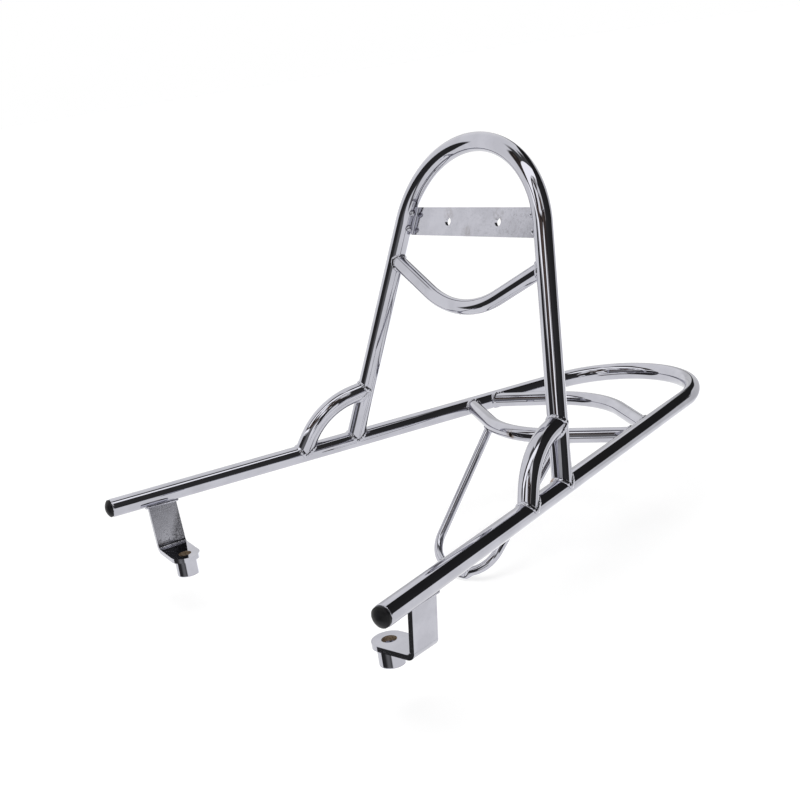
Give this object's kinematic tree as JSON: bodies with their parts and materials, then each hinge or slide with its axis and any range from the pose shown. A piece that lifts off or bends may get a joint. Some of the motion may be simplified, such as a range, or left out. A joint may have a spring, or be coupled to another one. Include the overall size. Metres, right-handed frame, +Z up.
{
  "type": "motorcycle luggage rack",
  "caption": "Bent-tube chrome rack that carries luggage behind a motorcycle's seat, with a braced backrest hoop, bolt-on brackets and a rear stay.",
  "frame": {"origin": "midway between the two base bolts, on the bottom faces of the spacers", "axes": "+X to the motorcycle's left, +Y to its rear, +Z up"},
  "size_m": [0.3862, 0.5143, 0.3639],
  "materials": {
    "tube_chrome": "mirror-bright chrome plate on bent steel tube",
    "bracket_chrome": "chrome plate on flat steel bar, satin on the inner faces",
    "spacer_chrome": "bright chrome plate on turned steel",
    "plate_chrome": "satin chrome plate on sheet steel",
    "rod_chrome": "mirror-bright chrome plate on round steel bar",
    "weld_metal": "chrome plate on rippled weld beads",
    "plug_plastic": "matt black moulded plastic"
  },
  "bodies": {
    "root": {"base_hoop": "tube_chrome", "backrest_hoop": "tube_chrome", "brace_left": "tube_chrome", "brace_right": "tube_chrome", "front_cross_tube": "tube_chrome", "rear_cross_tube": "tube_chrome", "backrest_cross_tube": "tube_chrome", "backrest_plate": "plate_chrome", "bracket_left": "bracket_chrome", "bracket_right": "bracket_chrome", "spacer_left": "spacer_chrome", "spacer_right": "spacer_chrome", "stay_rod": "rod_chrome", "end_plug_left": "plug_plastic", "end_plug_right": "plug_plastic", "backrest_foot_welds": "weld_metal", "brace_foot_welds": "weld_metal", "brace_top_welds": "weld_metal", "front_cross_welds": "weld_metal", "rear_cross_welds": "weld_metal", "backrest_cross_welds": "weld_metal", "stay_welds": "weld_metal", "bracket_welds": "weld_metal", "plate_welds": "weld_metal"}
  },
  "joints": []
}
